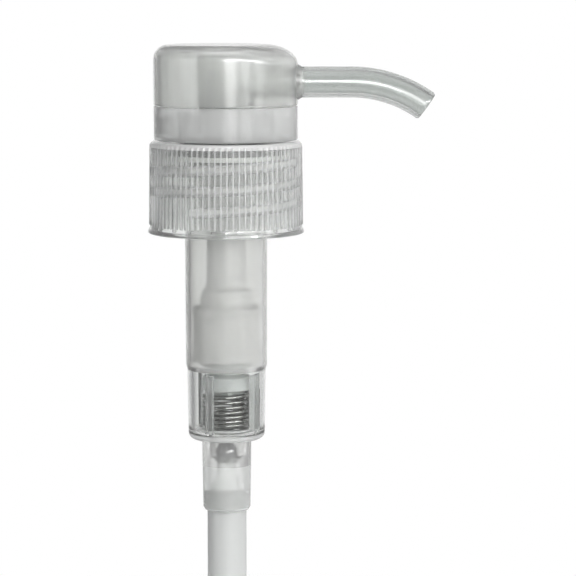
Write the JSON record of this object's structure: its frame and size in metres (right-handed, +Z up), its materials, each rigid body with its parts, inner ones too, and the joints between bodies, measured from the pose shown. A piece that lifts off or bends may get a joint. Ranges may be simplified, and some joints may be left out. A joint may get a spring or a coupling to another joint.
{
  "type": "condiment pump dispenser",
  "caption": "Screw-on pump dispenser for a 28 mm bottle neck, with a domed button, a down-curved spout, a ribbed cap, a clear barrel with a spring and a long dip tube.",
  "frame": {"origin": "on the pump's axis, in the plane of the gasket's sealing face, which lies on the bottle's lip", "axes": "+Z up along the pump's axis, +X along the spout, +Y completes a right-handed frame"},
  "size_m": [0.0594, 0.0324, 0.2016],
  "materials": {
    "clear_plastic": "clear natural polypropylene, glossy, faintly grey",
    "frosted_plastic": "natural polypropylene with a satin, slightly milky face",
    "milky_plastic": "milky natural polyethylene, semi-gloss",
    "tube_plastic": "milky extruded polyethylene tube, satin",
    "soft_seal": "soft white sealing foam and elastomer, matt",
    "spring_steel": "drawn stainless steel wire, bright",
    "ball_steel": "polished stainless steel ball",
    "ball_glass": "polished glass ball"
  },
  "bodies": {
    "housing": {"pump_housing": "clear_plastic", "lock_collar": "clear_plastic", "lock_seal": "soft_seal", "neck_gasket": "soft_seal", "ball_cage": "milky_plastic", "dip_tube": "tube_plastic", "return_spring": "spring_steel"},
    "closure": {"screw_closure": "frosted_plastic"},
    "plunger": {"piston": "milky_plastic", "plunger_seat": "milky_plastic"},
    "head": {"actuator_head": "clear_plastic", "stem": "milky_plastic"},
    "inlet_valve": {"inlet_ball": "ball_steel"},
    "discharge_valve": {"discharge_ball": "ball_glass"}
  },
  "joints": [
    {"name": "closure_turn", "type": "hinge", "parent": "housing", "child": "closure", "pos_m": [0, 0, 0], "axis": [0, 0, 1], "continuous": true},
    {"name": "pump_stroke", "type": "slide", "parent": "housing", "child": "plunger", "axis": [0, 0, 1], "range_m": [0, 0.022], "deforming": ["return_spring"]},
    {"name": "head_turn", "type": "hinge", "parent": "plunger", "child": "head", "pos_m": [0, 0, 0], "axis": [0, 0, 1], "continuous": true},
    {"name": "inlet_ball_lift", "type": "slide", "parent": "housing", "child": "inlet_valve", "axis": [0, 0, 1], "range_m": [0, 0.0017]},
    {"name": "discharge_ball_lift", "type": "slide", "parent": "head", "child": "discharge_valve", "axis": [0, 0, 1], "range_m": [0, 0.0013]}
  ]
}
